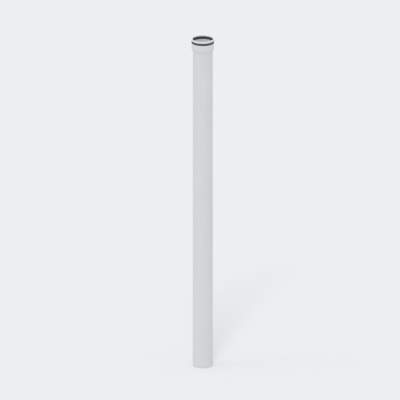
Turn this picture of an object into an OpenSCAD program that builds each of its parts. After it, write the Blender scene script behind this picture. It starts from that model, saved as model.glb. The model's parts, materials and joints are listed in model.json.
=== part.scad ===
// Polypropylene sewer pipe that stands on its spigot end, with the socket up.
// All sizes are in millimetres. The origin is the middle of the spigot end, and +Z runs up the axis.

/* [Barrel] */
// Outside diameter of the barrel and the spigot
pipe_diameter = 90; // [50:1:160]
// Wall thickness of the barrel
pipe_wall = 3.1; // [2.4:0.1:6]
// Length from the spigot end to the stop in the socket
laying_length = 1500; // [150:10:3000]
// Length of the chamfer on the spigot end
chamfer_length = 4; // [2:0.5:6]
// Angle of the chamfer to the axis
chamfer_angle = 15; // [10:1:20]

/* [Socket] */
// Depth from the mouth to the stop
socket_depth = 51; // [46:1:120]
// Radial gap between a spigot and the socket's bore
spigot_clearance = 0.4; // [0.2:0.1:0.8]
// Wall thickness of the socket's collar
socket_wall = 5.4; // [5:0.1:8]
// How far the collar draws in towards its end face
collar_draw = 1.4; // [0:0.1:1.6]
// Length over which the collar draws in
collar_draw_length = 18; // [6:1:20]
// How far above the stop the collar starts to narrow
shoulder_lead = 5; // [1:0.5:6]
// Length of the shoulder from the collar down to the barrel
shoulder_length = 14; // [12:0.5:20]
// Rounding of the shoulder's two edges
shoulder_radius = 6; // [1:0.5:12]
// Length of the slope from the stop down to the barrel's inside
stop_length = 4; // [2:0.5:6]
// How far the bore's end stands above the collar's end face
bore_rise = 1.2; // [0:0.1:2]
// Lead-in chamfer at the top of the bore
bore_lead_in = 0.6; // [0.2:0.1:1]

/* [Seal ring] */
// Height of the band that shows outside
band_height = 10.2; // [8:0.1:16]
// How far the band stands out past the lock ring
band_proud = 0.2; // [0:0.1:1]
// Rounding of the band's outer edges
band_radius = 0.8; // [0.2:0.1:1.5]
// How far the seal's inner wall stands up inside the lock ring
inner_wall_rise = 4; // [0:0.1:5]
// Gap from the bore's line out to the seal's inner wall
seal_recess = 0.7; // [0.5:0.1:0.9]
// Gap from the bore's line out to the lips, as a spigot presses them back
lip_clearance = 0.1; // [0:0.05:0.3]
// Number of lips
lip_count = 2; // [1:1:3]
// Height of each lip on the wall
lip_height = 3.2; // [1.5:0.1:3.2]
// Height of a lip's crest above its lower root
lip_crest = 0.8; // [0.4:0.1:1.4]
// Width of the foot that sits in the socket's end face
foot_width = 1.4; // [0.8:0.1:1.6]
// Depth of the foot
foot_depth = 5; // [2:0.5:8]
// Wall of the socket between the bore and the foot
foot_wall = 1.4; // [1.2:0.1:1.8]

/* [Lock ring] */
// Height of the ring above the seal
ring_height = 8; // [6:0.1:14]
// How far the ring stands in from the collar's widest radius
ring_set_in = 0.1; // [0:0.1:0.6]
// Radial gap between a spigot and the ring
ring_clearance = 0.8; // [0.5:0.1:1.2]
// Rounding of the ring's outer top edge
ring_radius = 1.6; // [0.4:0.1:2]
// Height of the lead-in at the ring's inner top edge
ring_lead_in = 1.6; // [0.5:0.1:3]
// Width of that lead-in
ring_lead_width = 0.8; // [0.3:0.1:1.5]
// Width of the tongue that sits in the seal
tongue_width = 1.6; // [1:0.1:2]
// Length of the tongue
tongue_depth = 7; // [3:0.5:7.5]
// Wall of the seal between its inner face and the tongue
tongue_wall = 1.3; // [0.8:0.1:1.5]

/* [Fits] */
// Gap on each side of the tongue and the foot in their grooves
groove_clearance = 0.1; // [0.05:0.05:0.2]

/* [Hidden] */
$fn = 96;
ARC_STEPS = 8;

// Heights along the axis
stop_z = laying_length;
mouth_z = stop_z + socket_depth;
seal_top_z = mouth_z - ring_height;
face_z = seal_top_z - band_height;
bore_top_z = face_z + bore_rise;
inner_top_z = seal_top_z + inner_wall_rise;
draw_z = face_z - collar_draw_length;
shoulder_top_z = stop_z + shoulder_lead;
shoulder_low_z = shoulder_top_z - shoulder_length;
stop_low_z = stop_z - stop_length;
foot_z = face_z - foot_depth;
tongue_z = seal_top_z - tongue_depth;

// Radii of the barrel and the socket
spigot_r = pipe_diameter / 2;
inner_r = spigot_r - pipe_wall;
tip_r = spigot_r - chamfer_length * tan(chamfer_angle);
bore_r = spigot_r + spigot_clearance;
collar_r = bore_r + socket_wall;
face_r = collar_r - collar_draw;
foot_in_r = bore_r + foot_wall + groove_clearance;
foot_out_r = foot_in_r + foot_width;

// Radii of the lock ring and the seal ring
ring_in_r = spigot_r + ring_clearance;
ring_out_r = collar_r - ring_set_in;
band_r = ring_out_r + band_proud;
seal_in_r = bore_r + seal_recess;
lip_r = bore_r + lip_clearance;
lip_pitch = (inner_top_z - bore_top_z) / lip_count;
tongue_in_r = seal_in_r + tongue_wall + groove_clearance;
tongue_out_r = tongue_in_r + tongue_width;
ring_lead_r = ring_in_r + ring_lead_width;

// Points of the arc of radius r that rounds the corner b between the points a and c
function corner(a, b, c, r) =
    let (
        u = (a - b) / norm(a - b),
        v = (c - b) / norm(c - b),
        half = acos(u * v) / 2,
        middle = b + (u + v) / norm(u + v) * r / sin(half),
        from = b + u * r / tan(half) - middle,
        to = b + v * r / tan(half) - middle,
        start = atan2(from.y, from.x),
        turn = atan2(from.x * to.y - from.y * to.x, from * to)
    )
    [for (i = [0:ARC_STEPS])
        let (angle = start + turn * i / ARC_STEPS)
        middle + r * [cos(angle), sin(angle)]];

// Outline through the points [radius, height, rounding], with each rounding above zero drawn as an arc
function rounded(points) =
    let (n = len(points), flat = [for (p = points) [p.x, p.y]])
    [for (i = [0:n - 1])
        each points[i].z > 0
            ? corner(flat[(i + n - 1) % n], flat[i], flat[(i + 1) % n], points[i].z)
            : [flat[i]]];

// Outline of the inner wall of the seal, with one tooth for each lip, whose crest is at its lower side
function lips() =
    [for (i = [0:lip_count - 1])
        let (low = bore_top_z + lip_pitch * (i + 0.5) - lip_height / 2)
        each [[seal_in_r, low, 0], [lip_r, low + lip_crest, 0], [seal_in_r, low + lip_height, 0]]];

// Barrel with its socket, turned as one piece
module pipe() {
    color("whitesmoke")
    rotate_extrude()
    polygon(rounded([
        [inner_r, 0, 0],
        [tip_r, 0, 0],
        [spigot_r, chamfer_length, 0],
        [spigot_r, shoulder_low_z, shoulder_radius],
        [collar_r, shoulder_top_z, shoulder_radius],
        [collar_r, draw_z, 0],
        [face_r, face_z, 0],
        [foot_out_r + groove_clearance, face_z, 0],
        [foot_out_r + groove_clearance, foot_z - groove_clearance, 0],
        [foot_in_r - groove_clearance, foot_z - groove_clearance, 0],
        [foot_in_r - groove_clearance, bore_top_z, 0],
        [bore_r + bore_lead_in, bore_top_z, 0],
        [bore_r, bore_top_z - bore_lead_in, 0],
        [bore_r, stop_z, 0],
        [inner_r, stop_low_z, 0]
    ]));
}

// Rubber band with lips inside, a groove for the lock ring's tongue above and a foot below
module seal_ring() {
    color("dimgray")
    rotate_extrude()
    polygon(rounded(concat(
        lips(),
        [
            [seal_in_r, inner_top_z, 0],
            [tongue_in_r - groove_clearance, inner_top_z, 0],
            [tongue_in_r - groove_clearance, tongue_z - groove_clearance, 0],
            [tongue_out_r + groove_clearance, tongue_z - groove_clearance, 0],
            [tongue_out_r + groove_clearance, seal_top_z, 0],
            [band_r, seal_top_z, band_radius],
            [band_r, face_z, band_radius],
            [foot_out_r, face_z, 0],
            [foot_out_r, foot_z, 0],
            [foot_in_r, foot_z, 0],
            [foot_in_r, bore_top_z, 0],
            [seal_in_r, bore_top_z, 0]
        ]
    )));
}

// Ring that closes the mouth, with a lead-in for the spigot and a tongue that holds the seal
module lock_ring() {
    color("white")
    rotate_extrude()
    polygon(rounded([
        [ring_in_r, inner_top_z, 0],
        [tongue_in_r, inner_top_z, 0],
        [tongue_in_r, tongue_z, 0],
        [tongue_out_r, tongue_z, 0],
        [tongue_out_r, seal_top_z, 0],
        [ring_out_r, seal_top_z, 0],
        [ring_out_r, mouth_z, ring_radius],
        [ring_lead_r, mouth_z, 0],
        [ring_in_r, mouth_z - ring_lead_in, 0]
    ]));
}

pipe();
seal_ring();
lock_ring();
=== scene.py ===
import json
import math

import bpy
import numpy as np
from bpy.props import FloatProperty, FloatVectorProperty, IntProperty, PointerProperty
from mathutils import Euler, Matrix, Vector


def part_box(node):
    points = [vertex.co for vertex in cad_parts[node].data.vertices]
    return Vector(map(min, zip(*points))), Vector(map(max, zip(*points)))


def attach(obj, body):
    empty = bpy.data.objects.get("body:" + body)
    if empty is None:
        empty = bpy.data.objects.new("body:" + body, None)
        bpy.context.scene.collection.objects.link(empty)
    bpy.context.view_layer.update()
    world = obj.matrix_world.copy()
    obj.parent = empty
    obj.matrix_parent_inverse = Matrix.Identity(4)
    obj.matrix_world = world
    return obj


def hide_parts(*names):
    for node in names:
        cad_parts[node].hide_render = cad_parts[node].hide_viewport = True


bl_info = {
    "name": "Polypropylene Sewer Pipe",
    "version": (1, 0, 0),
    "blender": (4, 5, 0),
    "location": "3D View > Sidebar > Sewer Pipe",
    "description": "Makes a white sewer pipe with its rubber seal and lock ring, and a pale stage for it",
    "category": "Object",
}

MM = 0.001
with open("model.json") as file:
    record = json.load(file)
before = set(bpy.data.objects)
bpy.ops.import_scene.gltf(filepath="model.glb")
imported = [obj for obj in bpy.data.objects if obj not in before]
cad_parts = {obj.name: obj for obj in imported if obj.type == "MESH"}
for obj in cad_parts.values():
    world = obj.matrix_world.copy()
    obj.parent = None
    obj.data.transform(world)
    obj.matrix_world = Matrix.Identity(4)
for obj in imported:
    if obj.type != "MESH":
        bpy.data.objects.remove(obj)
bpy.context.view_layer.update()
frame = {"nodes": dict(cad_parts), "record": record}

# Sizes read from the frame

SAME_PLACE = 0.01 * MM
DECIMALS = 5
MOUNTS = {mount["name"]: mount for mount in frame["record"]["mounts"]}


def vertex_places(mesh):
    """Radius from the pipe's axis and height of each vertex of a mesh, as two arrays in metres."""
    flat = np.empty(len(mesh.vertices) * 3, np.float32)
    mesh.vertices.foreach_get("co", flat)
    x, y, z = flat.astype(float).reshape(-1, 3).T
    return np.hypot(x, y), z


def node_places(node):
    """Radius and height of each vertex of a CAD node."""
    return vertex_places(frame["nodes"][node].data)


def radii_at(node, height):
    """Radii of the edges that a CAD node has at one height, from the inside out."""
    r, z = node_places(node)
    at_height = r[np.abs(z - height) < SAME_PLACE]
    return [float(radius) for radius in np.unique(np.round(at_height, DECIMALS))]


def heights_at(node, radius):
    """Lowest and highest point of a CAD node's wall at one radius."""
    r, z = node_places(node)
    on_wall = z[np.abs(r - radius) < SAME_PLACE]
    return float(on_wall.min()), float(on_wall.max())


def slope_corners(node, low, high, inner, outer):
    """Heights at which a CAD node's outer slope, drawn on straight, meets the walls below and above it.

    The slope is the tallest stretch without an edge on the outside, between the heights low and high. The
    walls have the radii inner and outer.
    """
    z = node_places(node)[1]
    edges = np.unique(np.round(z[(z > low) & (z < high)], DECIMALS))
    radii = np.array([radii_at(node, height)[-1] for height in edges])
    outside = radii >= np.maximum.accumulate(radii)
    edges, radii = edges[outside], radii[outside]
    i = int(np.argmax(np.diff(edges)))
    rise = (edges[i + 1] - edges[i]) / (radii[i + 1] - radii[i])
    return float(edges[i] + (inner - radii[i]) * rise), float(edges[i] + (outer - radii[i]) * rise)


# Pipe, from its spigot end up to the end of its socket
SPIGOT_R = MOUNTS["spigot"]["dims"]["r_mm"] * MM
BORE_R = MOUNTS["socket"]["dims"]["r_mm"] * MM
COLLAR_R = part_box("pipe")[1].x
BORE_END_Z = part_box("pipe")[1].z
INNER_R, TIP_R = radii_at("pipe", 0.0)
CHAMFER_Z, BARREL_TOP_Z = heights_at("pipe", SPIGOT_R)
COLLAR_LOW_Z, DRAW_Z = heights_at("pipe", COLLAR_R)
SHOULDER_LOW_Z, SHOULDER_TOP_Z = slope_corners("pipe", BARREL_TOP_Z, COLLAR_LOW_Z, SPIGOT_R, COLLAR_R)
STOP_LOW_Z = heights_at("pipe", INNER_R)[1]
STOP_Z, BORE_TOP_Z = heights_at("pipe", BORE_R)
LEAD_R, GROOVE_IN_R = radii_at("pipe", BORE_END_Z)
GROOVE_Z = heights_at("pipe", GROOVE_IN_R)[0]
GROOVE_OUT_R = radii_at("pipe", GROOVE_Z)[-1]
FACE_Z = heights_at("pipe", GROOVE_OUT_R)[1]
FACE_R = radii_at("pipe", FACE_Z)[-1]

# Seal ring, with the foot below its band and the slot above
FOOT_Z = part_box("seal_ring")[0].z
INNER_TOP_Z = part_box("seal_ring")[1].z
BAND_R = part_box("seal_ring")[1].x
SEAL_IN_R, SLOT_IN_R = radii_at("seal_ring", INNER_TOP_Z)
FOOT_IN_R, FOOT_OUT_R = radii_at("seal_ring", FOOT_Z)
SLOT_Z = heights_at("seal_ring", SLOT_IN_R)[0]
SLOT_OUT_R = radii_at("seal_ring", SLOT_Z)[-1]
SEAL_TOP_Z = heights_at("seal_ring", SLOT_OUT_R)[1]
BAND_TOP_R = radii_at("seal_ring", SEAL_TOP_Z)[-1]

# Lock ring, with the tongue that sits in the seal's slot
TONGUE_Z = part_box("lock_ring")[0].z
MOUTH_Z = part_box("lock_ring")[1].z
RING_IN_R, TONGUE_IN_R = radii_at("lock_ring", INNER_TOP_Z)
TONGUE_OUT_R, RING_R = radii_at("lock_ring", SEAL_TOP_Z)
RING_LEAD_R, RING_TOP_R = radii_at("lock_ring", MOUTH_Z)
RING_LEAD_Z = heights_at("lock_ring", RING_IN_R)[1]


# Settings that a user may change

def length(name, description, default):
    """A length in metres, shown in the scene's own unit."""
    return FloatProperty(
        name=name, description=description, default=default, min=0.0, unit="LENGTH", precision=5
    )


def colour(name, description, default):
    """A linear colour."""
    return FloatVectorProperty(
        name=name, description=description, default=default, size=3, min=0.0, max=1.0, subtype="COLOR"
    )


def share(name, description, default):
    """A number from 0 to 1."""
    return FloatProperty(
        name=name, description=description, default=default, min=0.0, max=1.0, subtype="FACTOR"
    )


def lamp_strength(name, description, default):
    """Strength of a light."""
    return FloatProperty(name=name, description=description, default=default, min=0.0)


def turn_count(description):
    """Number of faces round a turned piece."""
    return IntProperty(name="Turns", description=description, default=256, min=24, max=512)


class PipeSettings(bpy.types.PropertyGroup):
    """Shape and finish of the barrel and its socket."""

    barrel_radius: length("Barrel radius", "Outside radius of the barrel", SPIGOT_R)
    inner_radius: length("Inner radius", "Inside radius of the barrel", INNER_R)
    tip_radius: length("Tip radius", "Outside radius of the chamfered end", TIP_R)
    chamfer_height: length("Chamfer height", "Height of the chamfer", CHAMFER_Z)
    stop_height: length("Stop height", "Height of the stop in the socket", STOP_Z)
    bore_radius: length("Bore radius", "Inside radius of the socket", BORE_R)
    collar_radius: length("Collar radius", "Outside radius of the socket", COLLAR_R)
    shoulder_low: length("Shoulder foot", "Height at which the shoulder leaves the barrel", SHOULDER_LOW_Z)
    shoulder_top: length("Shoulder top", "Height at which the shoulder meets the collar", SHOULDER_TOP_Z)
    shoulder_rounding: length("Shoulder rounding", "Rounding of the two edges of the shoulder", 6 * MM)
    edge_rounding: length("Edge rounding", "Rounding of the cut edges", 0.4 * MM)
    tint: colour("Colour", "Colour of the outside", (0.673, 0.681, 0.689))
    # Painted light: the inside has a lighter colour than the outside, which stands in for light on the shaded
    # inner walls
    painted_light_inner_tint: colour("Inside colour", "Colour of the inside", (0.840, 0.845, 0.850))
    roughness: share("Roughness", "Roughness of the extruded skin", 0.42)
    turns: turn_count("Faces round the pipe")
    ring_spacing: length("Ring spacing", "Longest face along the barrel", 25 * MM)


class SealSettings(bpy.types.PropertyGroup):
    """Shape and finish of the rubber seal."""

    band_radius: length("Band radius", "Outside radius of the band", BAND_R)
    band_rounding: length("Band rounding", "Rounding of the band's outer edges", BAND_R - BAND_TOP_R)
    inner_radius: length("Inner radius", "Radius of the wall between the lips", SEAL_IN_R)
    lip_count: IntProperty(name="Lips", description="Number of lips", default=2, min=1, max=3)
    lip_radius: length("Lip radius", "Radius to which a relaxed lip reaches in", SPIGOT_R - 1.0 * MM)
    lip_height: length("Lip height", "Height of a lip where it leaves the wall", 3.2 * MM)
    lip_droop: length("Lip droop", "How far a lip's tip hangs below its root", 0.3 * MM)
    lip_rounding: length("Lip rounding", "Rounding of a lip's tip and roots", 0.25 * MM)
    tint: colour("Colour", "Colour of the rubber", (0.040, 0.041, 0.043))
    roughness: share("Roughness", "Roughness of the moulded rubber", 0.6)
    turns: turn_count("Faces round the seal")


class RingSettings(bpy.types.PropertyGroup):
    """Shape and finish of the lock ring."""

    outer_radius: length("Outer radius", "Outside radius of the ring", RING_R)
    inner_radius: length("Inner radius", "Inside radius of the ring", RING_IN_R)
    top_height: length("Top height", "Height of the ring's top, which is the mouth", MOUTH_Z)
    top_rounding: length("Top rounding", "Rounding of the outer top edge", RING_R - RING_TOP_R)
    lead_radius: length("Lead-in radius", "Radius at the top of the lead-in", RING_LEAD_R)
    lead_height: length("Lead-in foot", "Height at the foot of the lead-in", RING_LEAD_Z)
    edge_rounding: length("Edge rounding", "Rounding of the moulded edges", 0.4 * MM)
    tint: colour("Colour", "Colour of the polypropylene", (0.730, 0.740, 0.750))
    roughness: share("Roughness", "Roughness of the moulded skin", 0.38)
    turns: turn_count("Faces round the ring")


class StageSettings(bpy.types.PropertyGroup):
    """Camera, floor and light."""

    elevation: FloatProperty(
        name="Elevation", description="Height of the camera above the horizon",
        default=math.radians(18.5), unit="ROTATION",
    )
    frame_width: length("Frame width", "Width of what the camera sees", 1.802)
    base_right: length("Base right", "How far the base stands right of the frame's middle", 12.6 * MM)
    base_below: length("Base below", "How far the base lies below the frame's middle", 743.95 * MM)
    floor_size: length("Floor size", "Side of the floor", 60.0)
    floor_tint: colour("Floor colour", "Colour of the floor's paint", (0.845, 0.860, 0.877))
    backdrop_tint: colour("Backdrop colour", "Pale colour that the camera sees", (0.839, 0.855, 0.871))
    paleness: share("Paleness", "Share of the backdrop's colour in the floor that the camera sees", 0.2)
    sky: lamp_strength("Sky", "Strength of the even light from all round", 0.79)
    key: lamp_strength("Key", "Strength of the light from the front left", 0.71)
    side: lamp_strength("Side", "Strength of the light from the left", 0.19)


# Turned shapes

ARC_STEPS = 8
FINE_SPACING = 2 * MM
SHARP_ANGLE = math.radians(40.0)
# A straight longer than SHORTEST_HELD has a point at HOLD from each end, so that it is shaded flat
HOLD = 0.15 * MM
SHORTEST_HELD = 4 * HOLD


def corner_arc(before, at, after, rounding):
    """Arc that rounds one corner of an outline, or the bare corner if its rounding is 0.

    The arc touches both sides at rounding / tan(half the corner's angle) from the corner, and its middle lies
    on the bisector at rounding / sin(half the angle).
    """
    if rounding == 0:
        return at[None]
    u = (before - at) / np.linalg.norm(before - at)
    v = (after - at) / np.linalg.norm(after - at)
    half = math.acos(np.clip(u @ v, -1.0, 1.0)) / 2
    middle = at + (u + v) / np.linalg.norm(u + v) * rounding / math.sin(half)
    start = at + u * rounding / math.tan(half) - middle
    end = at + v * rounding / math.tan(half) - middle
    turn = math.atan2(start[0] * end[1] - start[1] * end[0], start @ end)
    angles = math.atan2(start[1], start[0]) + turn * np.linspace(0.0, 1.0, ARC_STEPS + 1)
    return middle + rounding * np.stack([np.cos(angles), np.sin(angles)], axis=-1)


def straight_points(start, end, spacing):
    """Points between the ends of a straight, in even steps, with one held close to each end."""
    span = np.linalg.norm(end - start)
    steps = np.linspace(0.0, 1.0, max(1, math.ceil(span / spacing)) + 1)[1:-1]
    if span > SHORTEST_HELD:
        hold = HOLD / span
        steps = np.unique(np.concatenate([[hold], steps, [1.0 - hold]]))
    return start + (end - start) * steps[:, None]


def outline(corners, spacing):
    """Closed outline through corners (radius, height, rounding), with arcs at the rounded ones.

    The corners run up the outside and down the inside, so that the turned faces point outwards.
    """
    at = np.array([corner[:2] for corner in corners])
    roundings = [corner[2] for corner in corners]
    before, after = np.roll(at, 1, axis=0), np.roll(at, -1, axis=0)
    arcs = [corner_arc(*sides) for sides in zip(before, at, after, roundings)]
    next_arcs = arcs[1:] + arcs[:1]
    runs = [straight_points(arc[-1], next_arc[0], spacing) for arc, next_arc in zip(arcs, next_arcs)]
    return np.concatenate([piece for pair in zip(arcs, runs) for piece in pair])


def turned_mesh(name, profile, turns):
    """Mesh of a closed outline turned about Z.

    Vertex (i, j) is (r_i cos t_j, r_i sin t_j, z_i), with t_j = 2 pi j / turns. Both ways round the grid
    close on themselves, so the skin has no seam, pole or open edge.
    """
    r, z = profile.T
    count = len(profile)
    t = np.linspace(0.0, 2 * math.pi, turns, endpoint=False)
    x, y = np.outer(r, np.cos(t)), np.outer(r, np.sin(t))
    points = np.stack([x, y, np.outer(z, np.ones(turns))], axis=-1)
    i, j = np.meshgrid(np.arange(count), np.arange(turns), indexing="ij")
    ring, next_ring = i * turns, (i + 1) % count * turns
    next_j = (j + 1) % turns
    quads = np.stack([ring + j, ring + next_j, next_ring + next_j, next_ring + j], axis=-1)
    mesh = bpy.data.meshes.new(name)
    mesh.from_pydata(points.reshape(-1, 3).tolist(), [], quads.reshape(-1, 4).tolist())
    mesh.polygons.foreach_set("use_smooth", np.ones(len(mesh.polygons), bool))
    mesh.set_sharp_from_angle(angle=SHARP_ANGLE)
    mesh.validate()
    mesh.update()
    return mesh


def add_piece(name, mesh, material, node):
    """Object that stands for a CAD node, in the same place, with the given finish."""
    mesh.materials.append(material)
    piece = bpy.data.objects.new(name, mesh)
    bpy.context.scene.collection.objects.link(piece)
    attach(piece, "root")
    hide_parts(node)


# Shader nodes

WHITE = (1.0, 1.0, 1.0)
# Ends of the stretch in which nearly all values of a noise lie, for roughness and for tone
NOISE_SPAN = (0.3, 0.7)
TONE_SPAN = (0.25, 0.75)
# Numbers of the sockets that a Mix node has for colours
MIX_FIRST = 6
MIX_SECOND = 7
MIX_RESULT = 2


def add_node(tree, kind, inputs=None, **settings):
    """New shader node with its settings, and its inputs set to values or linked to sockets."""
    made = tree.nodes.new(kind)
    for key, value in settings.items():
        setattr(made, key, value)
    for key, value in (inputs or {}).items():
        if isinstance(value, bpy.types.NodeSocket):
            tree.links.new(value, made.inputs[key])
        else:
            made.inputs[key].default_value = value
    return made


def empty_tree(block):
    """Node tree of a new material or world, with nothing in it."""
    block.use_nodes = True
    block.node_tree.nodes.clear()
    return block.node_tree


def new_material(name):
    """New material, its empty node tree and its Object coordinates."""
    material = bpy.data.materials.new(name)
    tree = empty_tree(material)
    return material, tree, add_node(tree, "ShaderNodeTexCoord").outputs["Object"]


def opaque(tint):
    """A colour with its alpha, which is 1."""
    return [*tint, 1.0]


def math_node(tree, operation, *values):
    """Result of one sum on numbers or sockets."""
    inputs = dict(enumerate(values))
    return add_node(tree, "ShaderNodeMath", inputs, operation=operation).outputs["Value"]


def height_of(tree, place):
    """Height above the pipe's foot, in metres."""
    return add_node(tree, "ShaderNodeSeparateXYZ", {"Vector": place}).outputs["Z"]


def noise(tree, place, scale, detail, roughness=0.5):
    """Noise from 0 to 1 with about scale features in a metre."""
    inputs = {"Vector": place, "Scale": scale, "Detail": detail, "Roughness": roughness}
    return add_node(tree, "ShaderNodeTexNoise", inputs).outputs["Fac"]


def spread(tree, value, middle, reach):
    """Goes from reach below a middle value to reach above it as a noise crosses its span."""
    low, high = NOISE_SPAN
    ends = {"From Min": low, "From Max": high, "To Min": middle - reach, "To Max": middle + reach}
    return add_node(tree, "ShaderNodeMapRange", {"Value": value, **ends}).outputs["Result"]


def fade(tree, value, start, end):
    """Goes smoothly from 0 at the start to 1 at the end."""
    inputs = {"Value": value, "From Min": start, "From Max": end}
    made = add_node(tree, "ShaderNodeMapRange", inputs, interpolation_type="SMOOTHSTEP")
    return made.outputs["Result"]


def tone(tree, value, tint, depth):
    """Colour that goes from tint (1 - depth) to tint (1 + depth) as a noise crosses its span."""
    ramp = add_node(tree, "ShaderNodeValToRGB", {"Fac": value})
    for stop, place, factor in zip(ramp.color_ramp.elements, TONE_SPAN, (1 - depth, 1 + depth)):
        stop.position = place
        stop.color = opaque(min(1.0, channel * factor) for channel in tint)
    return ramp.outputs["Color"]


def mix_colours(tree, factor, first, second):
    """The first colour where the factor is 0, and the second where it is 1."""
    inputs = {"Factor": factor, MIX_FIRST: first, MIX_SECOND: second}
    return add_node(tree, "ShaderNodeMix", inputs, data_type="RGBA").outputs[MIX_RESULT]


def mix_shaders(tree, factor, first, second):
    """The first shader where the factor is 0, and the second where it is 1."""
    return add_node(tree, "ShaderNodeMixShader", {0: factor, 1: first, 2: second}).outputs["Shader"]


def bump(tree, height, distance, normal=None):
    """Bump of a given depth in metres, on top of another bump if there is one."""
    inputs = {"Height": height, "Distance": distance, "Strength": 1.0}
    if normal is not None:
        inputs["Normal"] = normal
    return add_node(tree, "ShaderNodeBump", inputs).outputs["Normal"]


def close_material(tree, base, roughness, normal, ior):
    """Principled shader on the material's output."""
    inputs = {"Base Color": base, "Roughness": roughness, "Normal": normal, "IOR": ior}
    shader = add_node(tree, "ShaderNodeBsdfPrincipled", inputs)
    add_node(tree, "ShaderNodeOutputMaterial", {"Surface": shader.outputs["BSDF"]})


def seen_rays(tree):
    """1 for what is seen, straight, in a gloss or through glass, and 0 for the light on other things."""
    path = add_node(tree, "ShaderNodeLightPath").outputs
    straight_or_gloss = math_node(tree, "MAXIMUM", path["Is Camera Ray"], path["Is Glossy Ray"])
    return math_node(tree, "MAXIMUM", straight_or_gloss, path["Is Transmission Ray"])


# Finishes

POLYPROPYLENE_IOR = 1.49
RUBBER_IOR = 1.5
# Attribute that picks out the inside, where the lighter colour of painted light goes
INSIDE_LAYER = "inside"
# Die lines, stretched along the axis, and what forming the socket takes from them and from the roughness
LINE_STRETCH = 0.012
LINE_DEPTH = 0.08 * MM
FORMED_FADING = 0.6
FORMED_SMOOTHING = 0.06
# Rings that the chamfering tool leaves, and how much rougher it makes the skin
TOOL_PITCH = 0.35 * MM
TOOL_DEPTH = 0.02 * MM
TOOL_ROUGHENING = 0.12
# Grain of the extruded skin, spark texture of the moulded ring, pits and flash line of the rubber
GRAIN_DEPTH = 0.006 * MM
SPARK_DEPTH = 0.012 * MM
PIT_DEPTH = 0.02 * MM
FLASH_DEPTH = 0.04 * MM
FLASH_WIDTH = 0.5 * MM


def extruded_polypropylene(settings):
    """White polypropylene from the die: lines along the axis, slow clouds of tone and a fine grain.

    The formed socket is smoother, and its lines are fainter. The chamfer is rougher, with the tool's rings.
    """
    material, tree, place = new_material("extruded_polypropylene")
    drawn_out = {"Vector": place, "Scale": (1.0, 1.0, LINE_STRETCH)}
    along = add_node(tree, "ShaderNodeMapping", drawn_out).outputs["Vector"]
    lines = noise(tree, along, scale=260.0, detail=4.0, roughness=0.65)
    clouds = noise(tree, place, scale=9.0, detail=3.0)
    grain = noise(tree, place, scale=2200.0, detail=2.0)

    height = height_of(tree, place)
    formed = fade(tree, height, start=settings.shoulder_low, end=settings.shoulder_top)
    inside = add_node(tree, "ShaderNodeAttribute", attribute_name=INSIDE_LAYER).outputs["Fac"]
    outside = math_node(tree, "SUBTRACT", 1.0, inside)
    on_chamfer = fade(tree, height, start=settings.chamfer_height, end=settings.chamfer_height - TOOL_PITCH)
    tooled = math_node(tree, "MULTIPLY", on_chamfer, outside)

    uneven = math_node(tree, "MULTIPLY", math_node(tree, "ADD", lines, clouds), 0.5)
    outer_tone = tone(tree, uneven, settings.tint, depth=0.04)
    # Painted light: the inside gets a lighter copy of the outside's tone, which stands in for light on its
    # shaded walls
    painted_light_inner_tone = tone(tree, uneven, settings.painted_light_inner_tint, depth=0.04)
    base = mix_colours(tree, inside, outer_tone, painted_light_inner_tone)

    skin = spread(tree, lines, settings.roughness, reach=0.08)
    smoothed = math_node(tree, "MULTIPLY_ADD", formed, -FORMED_SMOOTHING, skin)
    rough = math_node(tree, "MULTIPLY_ADD", tooled, TOOL_ROUGHENING, smoothed)

    wave = math_node(tree, "SINE", math_node(tree, "MULTIPLY", height, 2 * math.pi / TOOL_PITCH))
    rings = bump(tree, math_node(tree, "MULTIPLY", wave, tooled), TOOL_DEPTH)
    line_share = math_node(tree, "MULTIPLY_ADD", formed, -FORMED_FADING, 1.0)
    lined = bump(tree, math_node(tree, "MULTIPLY", lines, line_share), LINE_DEPTH, rings)
    close_material(tree, base, rough, bump(tree, grain, GRAIN_DEPTH, lined), POLYPROPYLENE_IOR)
    return material


def moulded_polypropylene(settings):
    """White polypropylene from a mould: an even spark texture with slow clouds of tone."""
    material, tree, place = new_material("moulded_polypropylene")
    clouds = noise(tree, place, scale=40.0, detail=3.0)
    spark = noise(tree, place, scale=1600.0, detail=3.0, roughness=0.6)
    base = tone(tree, clouds, settings.tint, depth=0.015)
    rough = spread(tree, clouds, settings.roughness, reach=0.04)
    close_material(tree, base, rough, bump(tree, spark, SPARK_DEPTH), POLYPROPYLENE_IOR)
    return material


def moulded_rubber(settings):
    """Dark matt rubber: fine pits, a dusty bloom in patches and a flash line round the band's middle."""
    material, tree, place = new_material("moulded_rubber")
    bloom = noise(tree, place, scale=120.0, detail=4.0, roughness=0.6)
    pits = noise(tree, place, scale=1400.0, detail=3.0, roughness=0.6)
    above_middle = math_node(tree, "SUBTRACT", height_of(tree, place), (FACE_Z + SEAL_TOP_Z) / 2)
    flash = fade(tree, math_node(tree, "ABSOLUTE", above_middle), start=FLASH_WIDTH / 2, end=0.0)
    base = tone(tree, bloom, settings.tint, depth=0.25)
    rough = spread(tree, bloom, settings.roughness, reach=0.08)
    normal = bump(tree, pits, PIT_DEPTH, bump(tree, flash, FLASH_DEPTH))
    close_material(tree, base, rough, normal, RUBBER_IOR)
    return material


def pale_paint(settings):
    """Matt floor paint. What is seen of it has a share of the backdrop's colour, so its shadows are soft."""
    material = bpy.data.materials.new("floor_paint")
    tree = empty_tree(material)
    paint = add_node(tree, "ShaderNodeBsdfDiffuse", {"Color": opaque(settings.floor_tint)})
    glow = add_node(tree, "ShaderNodeEmission", {"Color": opaque(settings.backdrop_tint)})
    pale = math_node(tree, "MULTIPLY", seen_rays(tree), settings.paleness)
    surface = mix_shaders(tree, pale, paint.outputs["BSDF"], glow.outputs["Emission"])
    add_node(tree, "ShaderNodeOutputMaterial", {"Surface": surface})
    return material


# Pieces

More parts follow.
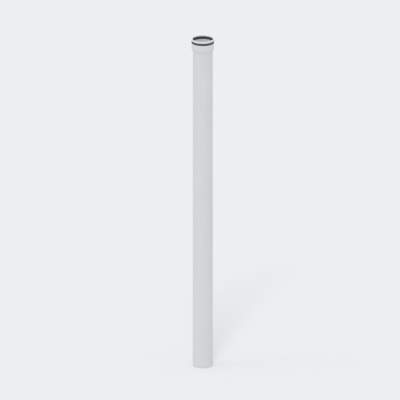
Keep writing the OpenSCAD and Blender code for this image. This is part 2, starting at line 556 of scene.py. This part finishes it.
class SEWER_OT_pipe(bpy.types.Operator):
    """Make the barrel, with its chamfered spigot, shoulder and socket, as one turned skin"""

    bl_idname = "sewer_pipe.pipe"
    bl_label = "Make Pipe"

    def execute(self, context):
        settings = context.scene.sewer_pipe
        edge, shoulder = settings.edge_rounding, settings.shoulder_rounding
        corners = [
            (settings.inner_radius, 0.0, edge),
            (settings.tip_radius, 0.0, edge),
            (settings.barrel_radius, settings.chamfer_height, edge),
            (settings.barrel_radius, settings.shoulder_low, shoulder),
            (settings.collar_radius, settings.shoulder_top, shoulder),
            (settings.collar_radius, DRAW_Z, shoulder),
            (FACE_R, FACE_Z, edge),
            (GROOVE_OUT_R, FACE_Z, 0.0),
            (GROOVE_OUT_R, GROOVE_Z, 0.0),
            (GROOVE_IN_R, GROOVE_Z, 0.0),
            (GROOVE_IN_R, BORE_END_Z, 0.0),
            (LEAD_R, BORE_END_Z, 0.0),
            (settings.bore_radius, BORE_TOP_Z, edge),
            (settings.bore_radius, settings.stop_height, edge),
            (settings.inner_radius, STOP_LOW_Z, edge),
        ]
        mesh = turned_mesh("pipe_skin", outline(corners, settings.ring_spacing), settings.turns)
        self.mark_inside(mesh, settings)
        add_piece("pipe_skin", mesh, extruded_polypropylene(settings), "pipe")
        return {"FINISHED"}

    def mark_inside(self, mesh, settings):
        """Attribute that is 1 on the inside and 0 outside: a point is inside where r < m(z).

        The middle of the wall, m(z), goes from the barrel's to the socket's along the slope of the stop.
        """
        r, z = vertex_places(mesh)
        barrel_middle = (settings.inner_radius + settings.barrel_radius) / 2
        socket_middle = (settings.bore_radius + GROOVE_IN_R) / 2
        middle = np.interp(z, [STOP_LOW_Z, settings.stop_height], [barrel_middle, socket_middle])
        layer = mesh.attributes.new(INSIDE_LAYER, "FLOAT", "POINT")
        layer.data.foreach_set("value", (r < middle).astype(np.float32))


class SEWER_OT_seal(bpy.types.Operator):
    """Make the rubber seal, with its band outside and its relaxed lips inside"""

    bl_idname = "sewer_pipe.seal"
    bl_label = "Make Seal"

    def execute(self, context):
        settings = context.scene.sewer_pipe_seal
        corners = [
            (settings.inner_radius, BORE_END_Z, 0.0),
            (FOOT_IN_R, BORE_END_Z, 0.0),
            (FOOT_IN_R, FOOT_Z, 0.0),
            (FOOT_OUT_R, FOOT_Z, 0.0),
            (FOOT_OUT_R, FACE_Z, 0.0),
            (settings.band_radius, FACE_Z, settings.band_rounding),
            (settings.band_radius, SEAL_TOP_Z, settings.band_rounding),
            (SLOT_OUT_R, SEAL_TOP_Z, 0.0),
            (SLOT_OUT_R, SLOT_Z, 0.0),
            (SLOT_IN_R, SLOT_Z, 0.0),
            (SLOT_IN_R, INNER_TOP_Z, 0.0),
            (settings.inner_radius, INNER_TOP_Z, 0.0),
            *self.lips(settings),
        ]
        mesh = turned_mesh("rubber_seal", outline(corners, FINE_SPACING), settings.turns)
        add_piece("rubber_seal", mesh, moulded_rubber(settings), "seal_ring")
        return {"FINISHED"}

    def lips(self, settings):
        """Corners of the lips from the highest down: each leaves the wall, hangs to its tip and comes back."""
        pitch = (INNER_TOP_Z - BORE_END_Z) / settings.lip_count
        corners = []
        for i in range(settings.lip_count):
            root = INNER_TOP_Z - pitch * (i + 0.5) - settings.lip_height / 2
            corners += [
                (settings.inner_radius, root + settings.lip_height, settings.lip_rounding),
                (settings.lip_radius, root - settings.lip_droop, settings.lip_rounding),
                (settings.inner_radius, root, settings.lip_rounding),
            ]
        return corners


class SEWER_OT_lock_ring(bpy.types.Operator):
    """Make the white ring that closes the mouth and holds the seal"""

    bl_idname = "sewer_pipe.lock_ring"
    bl_label = "Make Lock Ring"

    def execute(self, context):
        settings = context.scene.sewer_pipe_ring
        edge = settings.edge_rounding
        corners = [
            (settings.inner_radius, INNER_TOP_Z, 0.0),
            (TONGUE_IN_R, INNER_TOP_Z, 0.0),
            (TONGUE_IN_R, TONGUE_Z, 0.0),
            (TONGUE_OUT_R, TONGUE_Z, 0.0),
            (TONGUE_OUT_R, SEAL_TOP_Z, 0.0),
            (settings.outer_radius, SEAL_TOP_Z, edge),
            (settings.outer_radius, settings.top_height, settings.top_rounding),
            (settings.lead_radius, settings.top_height, edge),
            (settings.inner_radius, settings.lead_height, edge),
        ]
        mesh = turned_mesh("lock_ring_skin", outline(corners, FINE_SPACING), settings.turns)
        add_piece("lock_ring_skin", mesh, moulded_polypropylene(settings), "lock_ring")
        return {"FINISHED"}


# Stage

# Azimuth of each light, from the camera's side to the right, and its height above the horizon, in degrees
KEY_LEFT = (-14.0, 47.5)
KEY_RIGHT = (-0.5, 58.0)
SIDE = (-87.0, 28.8)
KEY_LAMPS = 4
KEY_SOFTNESS = 6.0
SIDE_SOFTNESS = 30.0
CAMERA_DISTANCE = 6.0
CAMERA_REACH = 100.0


def add_sun(name, direction, strength, softness):
    """Even light from one direction, with soft-edged shadows."""
    azimuth, height = (math.radians(angle) for angle in direction)
    across = math.cos(height)
    towards = Vector((math.sin(azimuth) * across, -math.cos(azimuth) * across, math.sin(height)))
    light = bpy.data.lights.new(name, "SUN")
    light.energy = strength
    light.angle = math.radians(softness)
    lamp = bpy.data.objects.new(name, light)
    lamp.rotation_euler = towards.to_track_quat("Z", "Y").to_euler()
    bpy.context.scene.collection.objects.link(lamp)


def add_key(strength):
    """Wide softbox in front and to the left, its left end lower: a row of suns that share its strength."""
    for i, direction in enumerate(np.linspace(KEY_LEFT, KEY_RIGHT, KEY_LAMPS)):
        add_sun(f"key_light_{i}", direction, strength / KEY_LAMPS, KEY_SOFTNESS)


def add_floor(settings):
    """Flat square of floor at the pipe's foot."""
    half = settings.floor_size / 2
    corners = [(-half, -half, 0.0), (half, -half, 0.0), (half, half, 0.0), (-half, half, 0.0)]
    mesh = bpy.data.meshes.new("floor")
    mesh.from_pydata(corners, [], [(0, 1, 2, 3)])
    mesh.materials.append(pale_paint(settings))
    floor = bpy.data.objects.new("floor", mesh)
    bpy.context.scene.collection.objects.link(floor)


def add_sky(settings):
    """Even light from all round, which has the backdrop's colour where it is seen past the floor."""
    world = bpy.data.worlds.new("even_sky")
    tree = empty_tree(world)
    light = add_node(tree, "ShaderNodeBackground", {"Color": opaque(WHITE), "Strength": settings.sky})
    backdrop = add_node(tree, "ShaderNodeBackground", {"Color": opaque(settings.backdrop_tint)})
    shades = [shade.outputs["Background"] for shade in (light, backdrop)]
    surface = mix_shaders(tree, seen_rays(tree), *shades)
    add_node(tree, "ShaderNodeOutputWorld", {"Surface": surface})
    bpy.context.scene.world = world


def add_camera(settings):
    """Camera with parallel lines, in front of the pipe and above it, framed by where the base stands."""
    camera = bpy.data.cameras.new("camera")
    camera.type = "ORTHO"
    camera.ortho_scale = settings.frame_width
    camera.clip_end = CAMERA_REACH
    tilt = settings.elevation
    back = Vector((0.0, -math.cos(tilt), math.sin(tilt)))
    up = Vector((0.0, math.sin(tilt), math.cos(tilt)))
    middle = Vector((-settings.base_right, 0.0, 0.0)) + up * settings.base_below
    view = bpy.data.objects.new("camera", camera)
    view.location = middle + back * CAMERA_DISTANCE
    view.rotation_euler = Euler((math.pi / 2 - tilt, 0.0, 0.0))
    bpy.context.scene.collection.objects.link(view)
    bpy.context.scene.camera = view


class SEWER_OT_stage(bpy.types.Operator):
    """Make the floor, the light and the camera"""

    bl_idname = "sewer_pipe.stage"
    bl_label = "Make Stage"

    def execute(self, context):
        settings = context.scene.sewer_pipe_stage
        context.scene.view_settings.view_transform = "Standard"
        add_floor(settings)
        add_sky(settings)
        add_key(settings.key)
        add_sun("side_light", SIDE, settings.side, SIDE_SOFTNESS)
        add_camera(settings)
        return {"FINISHED"}


# Panel and registration

GROUPS = {
    "sewer_pipe": PipeSettings,
    "sewer_pipe_seal": SealSettings,
    "sewer_pipe_ring": RingSettings,
    "sewer_pipe_stage": StageSettings,
}
OPERATORS = {
    "sewer_pipe": SEWER_OT_pipe,
    "sewer_pipe_seal": SEWER_OT_seal,
    "sewer_pipe_ring": SEWER_OT_lock_ring,
    "sewer_pipe_stage": SEWER_OT_stage,
}


class SEWER_PT_panel(bpy.types.Panel):
    """Settings and buttons of the sewer pipe"""

    bl_idname = "SEWER_PT_panel"
    bl_label = "Sewer Pipe"
    bl_space_type = "VIEW_3D"
    bl_region_type = "UI"
    bl_category = "Sewer Pipe"

    def draw(self, context):
        for name, operator in OPERATORS.items():
            box = self.layout.box()
            settings = getattr(context.scene, name)
            for key in GROUPS[name].__annotations__:
                box.prop(settings, key)
            box.operator(operator.bl_idname)


CLASSES = (*GROUPS.values(), *OPERATORS.values(), SEWER_PT_panel)


def register():
    for entry in CLASSES:
        bpy.utils.register_class(entry)
    for name, group in GROUPS.items():
        setattr(bpy.types.Scene, name, PointerProperty(type=group))


def unregister():
    for name in GROUPS:
        delattr(bpy.types.Scene, name)
    for entry in reversed(CLASSES):
        bpy.utils.unregister_class(entry)


def main():
    register()
    bpy.ops.sewer_pipe.stage()
    bpy.ops.sewer_pipe.pipe()
    bpy.ops.sewer_pipe.seal()
    bpy.ops.sewer_pipe.lock_ring()


if __name__ == "__main__":
    main()
